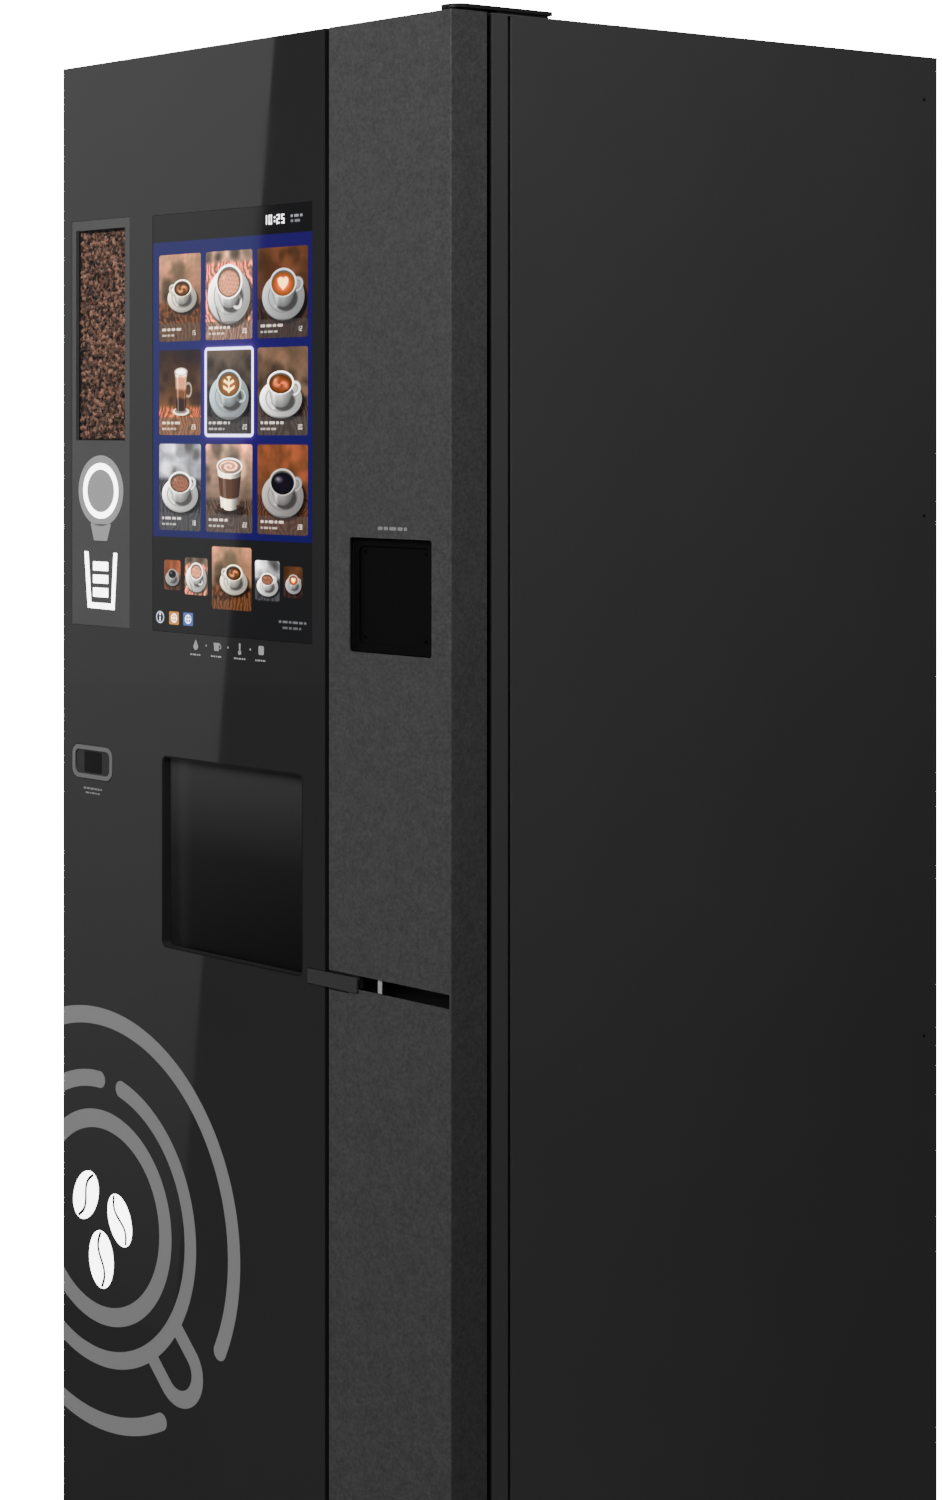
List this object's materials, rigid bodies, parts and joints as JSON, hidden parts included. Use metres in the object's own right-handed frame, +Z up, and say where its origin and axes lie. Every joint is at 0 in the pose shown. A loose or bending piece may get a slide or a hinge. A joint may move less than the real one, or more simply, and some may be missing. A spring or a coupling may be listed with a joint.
{
  "type": "hot drinks vending machine",
  "caption": "Free-standing hot drinks vending machine: glass-fronted door with touch screen, bean window, sliding pick-up flap and card reader; brewing modules inside.",
  "frame": {"origin": "on the floor under the middle of the cabinet's footprint", "axes": "+Z up, front with the screen faces -Y, +X to the viewer's right"},
  "size_m": [0.64, 0.7814, 1.837],
  "materials": {
    "aluminium": "as cast",
    "black_glass": "polished back-painted glass",
    "black_plastic": "fine matt",
    "brass": "machined",
    "chrome": "polished",
    "clear_glass": "clear polished",
    "clear_plastic": "clear moulded",
    "galvanised": "plain satin zinc",
    "gloss_black": "gloss",
    "grey_plastic": "fine matt",
    "inner_steel": "satin stainless sheet",
    "light_grey": "fine matt",
    "powder_coat": "fine-textured matt powder coat",
    "rubber": "matt",
    "screen": "lit display under cover glass",
    "white_plastic": "fine matt",
    "zinc_screw": "zinc plated"
  },
  "bodies": {
    "cabinet": {"auger_motors": "black_plastic", "back_panel": "powder_coat", "bean_hopper": "clear_plastic", "boiler": "inner_steel", "brewer_frame": "black_plastic", "canister_1": "clear_plastic", "canister_2": "clear_plastic", "deck": "inner_steel", "dispense_head": "black_plastic", "door_hinges": "powder_coat", "drip_grille": "inner_steel", "drip_tray": "black_plastic", "drop_ring": "white_plastic", "electronics_tray": "galvanised", "fan_frame": "black_plastic", "frame_weldment": "galvanised", "front_frame": "powder_coat", "grinder_housing": "aluminium", "grounds_bin": "grey_plastic", "levelling_feet": "rubber", "mixer_bowl": "white_plastic", "panel_screws": "zinc_screw", "power_inlet": "black_plastic", "pump": "galvanised", "side_panel_left": "powder_coat", "side_panel_right": "powder_coat", "station_liner": "inner_steel", "top_panel": "powder_coat", "waste_bucket": "white_plastic", "water_bottle": "clear_plastic", "water_inlet": "brass"},
    "door": {"door_shell": "powder_coat", "front_glass": "black_glass", "column_panel": "powder_coat", "lock_channel": "black_plastic", "display_module": "screen", "window_plate": "grey_plastic", "window_pane": "clear_glass", "pickup_bezel": "black_plastic", "cup_chute": "inner_steel", "scanner": "grey_plastic", "card_reader": "gloss_black", "flap_motor": "galvanised", "door_gasket": "rubber"},
    "flap": {"pickup_flap": "grey_plastic"},
    "pinion": {"flap_pinion": "white_plastic"},
    "cover": {"lock_cover": "grey_plastic"},
    "lock": {"lock_cylinder": "chrome"},
    "latch": {"latch_bar": "galvanised"},
    "lid": {"hopper_lid": "black_plastic"},
    "burr": {"grinder_burr": "inner_steel"},
    "piston": {"brew_piston": "white_plastic"},
    "auger_a": {"auger_1": "white_plastic"},
    "auger_b": {"auger_2": "white_plastic"},
    "whipper_a": {"whipper_1": "light_grey"},
    "whipper_b": {"whipper_2": "light_grey"},
    "turret": {"cup_turret": "light_grey"},
    "arm": {"cup_arm": "black_plastic"},
    "fan": {"fan_rotor": "black_plastic"},
    "rocker": {"rocker_switch": "gloss_black"}
  },
  "joints": [
    {"name": "door_swing", "type": "hinge", "parent": "cabinet", "child": "door", "pos_m": [0.304, -0.366, 0.9], "axis": [0, 0, 1], "range_deg": [0, 100]},
    {"name": "flap_slide", "type": "slide", "parent": "door", "child": "flap", "axis": [0, 0, -1], "range_m": [0, 0.212]},
    {"name": "pinion_spin", "type": "hinge", "parent": "door", "child": "pinion", "pos_m": [-0.16, -0.363, 0.812], "axis": [0, 1, 0], "continuous": true},
    {"name": "cover_slide", "type": "slide", "parent": "door", "child": "cover", "axis": [1, 0, 0], "range_m": [0, 0.028]},
    {"name": "latch_slide", "type": "slide", "parent": "door", "child": "latch", "axis": [-1, 0, 0], "range_m": [0, 0.014]},
    {"name": "lock_turn", "type": "hinge", "parent": "door", "child": "lock", "pos_m": [0.121, -0.37, 0.81135], "axis": [0, 1, 0], "range_deg": [0, 90]},
    {"name": "lid_lift", "type": "hinge", "parent": "cabinet", "child": "lid", "pos_m": [-0.248, -0.066, 1.655], "axis": [-1, 0, 0], "range_deg": [0, 75]},
    {"name": "burr_spin", "type": "hinge", "parent": "cabinet", "child": "burr", "pos_m": [-0.248, -0.155, 1.32], "axis": [0, 0, 1], "continuous": true},
    {"name": "piston_slide", "type": "slide", "parent": "cabinet", "child": "piston", "axis": [0, 0, -1], "range_m": [0, 0.04]},
    {"name": "auger_a_spin", "type": "hinge", "parent": "cabinet", "child": "auger_a", "pos_m": [-0.135, -0.1, 1.292], "axis": [0, 1, 0], "continuous": true},
    {"name": "auger_b_spin", "type": "hinge", "parent": "cabinet", "child": "auger_b", "pos_m": [0.043, -0.1, 1.292], "axis": [0, 1, 0], "continuous": true},
    {"name": "whipper_a_spin", "type": "hinge", "parent": "cabinet", "child": "whipper_a", "pos_m": [-0.135, -0.214, 1.166], "axis": [0, 1, 0], "continuous": true},
    {"name": "whipper_b_spin", "type": "hinge", "parent": "cabinet", "child": "whipper_b", "pos_m": [0.043, -0.214, 1.166], "axis": [0, 1, 0], "continuous": true},
    {"name": "turret_spin", "type": "hinge", "parent": "cabinet", "child": "turret", "pos_m": [0.205, -0.205, 1.2], "axis": [0, 0, 1], "continuous": true},
    {"name": "arm_swing", "type": "hinge", "parent": "cabinet", "child": "arm", "pos_m": [0.052, -0.1245, 0.908], "axis": [0, 0, 1], "range_deg": [-85.2, 0]},
    {"name": "fan_spin", "type": "hinge", "parent": "cabinet", "child": "fan", "pos_m": [0.18, 0.37, 1.6], "axis": [0, 1, 0], "continuous": true},
    {"name": "rocker_tilt", "type": "hinge", "parent": "cabinet", "child": "rocker", "pos_m": [-0.124, 0.346, 0.19], "axis": [-1, 0, 0], "range_deg": [0, 10]}
  ],
  "couplings": [
    {"joint": "pinion_spin", "follows": "flap_slide", "rad_per_m": 74.074},
    {"joint": "lock_turn", "follows": "latch_slide", "rad_per_m": 112.2}
  ]
}
